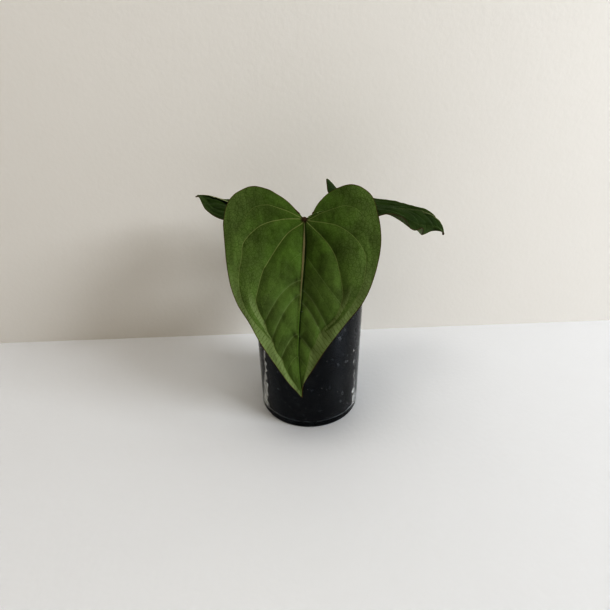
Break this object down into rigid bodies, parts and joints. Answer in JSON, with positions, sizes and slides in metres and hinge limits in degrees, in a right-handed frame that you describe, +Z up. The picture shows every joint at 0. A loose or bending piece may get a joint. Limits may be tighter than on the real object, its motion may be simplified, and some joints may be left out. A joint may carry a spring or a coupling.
{
  "type": "potted anthurium kunayalense",
  "caption": "Small potted aroid with broad heart-shaped, drip-tipped leaves on slender stalks, rooted in dark soil in a clear straight-sided glass jar.",
  "frame": {"origin": "centre of the jar's flat base, on the plane that the jar stands on", "axes": "+Z up along the jar's axis; -Y towards the viewer, the way the big front leaf hangs and faces; +X to the viewer's right, towards the longer of the two leaves behind"},
  "size_m": [0.2034, 0.128, 0.1685],
  "materials": {
    "glass": "clear gloss",
    "soil": "matt, crumbly, moist potting mix",
    "rootstock": "matt, fibrous",
    "sheath": "matt, papery",
    "stalk": "satin, waxy",
    "young_leaf": "velvety, low sheen",
    "old_leaf": "satin"
  },
  "bodies": {
    "root": {"glass_jar": "glass", "soil": "soil", "rootstock": "rootstock", "sheath_back": "sheath", "sheath_left": "sheath", "sheath_right": "sheath", "stalk_front": "stalk", "stalk_left": "stalk", "stalk_right": "stalk", "leaf_front": "young_leaf", "leaf_left": "old_leaf", "leaf_right": "old_leaf"}
  },
  "joints": []
}
